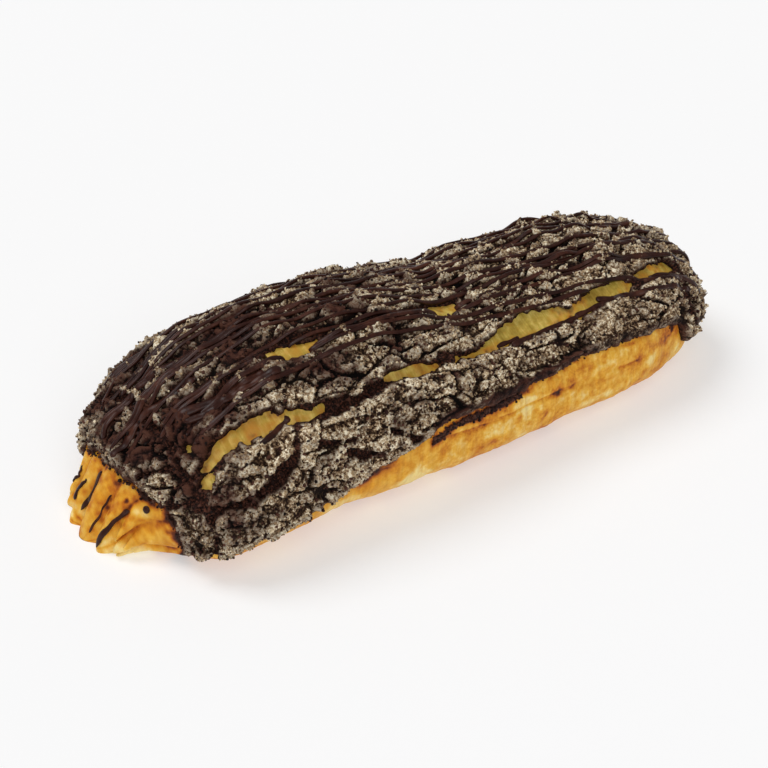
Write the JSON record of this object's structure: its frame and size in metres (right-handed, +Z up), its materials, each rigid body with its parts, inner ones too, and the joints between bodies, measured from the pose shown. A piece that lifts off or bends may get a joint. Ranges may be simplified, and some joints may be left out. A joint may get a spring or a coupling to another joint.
{
  "type": "chocolate eclair",
  "caption": "Piped choux eclair with a cracked cocoa craquelin crust and dark chocolate drizzled along its length.",
  "frame": {"origin": "on the floor, under the middle of the pastry's bounding box", "axes": "+X along the length from the piped tip to the capped end, +Y to the back, +Z up"},
  "size_m": [0.1504, 0.0556, 0.0393],
  "materials": {
    "choux": null,
    "cocoa_crust": null
  },
  "bodies": {
    "root": {"choux_shell": "choux", "crust_left_cap": "cocoa_crust", "crust_chip": "cocoa_crust", "crust_front": "cocoa_crust", "crust_top": "cocoa_crust", "crust_back": "cocoa_crust", "crust_right_cap": "cocoa_crust"}
  },
  "joints": []
}
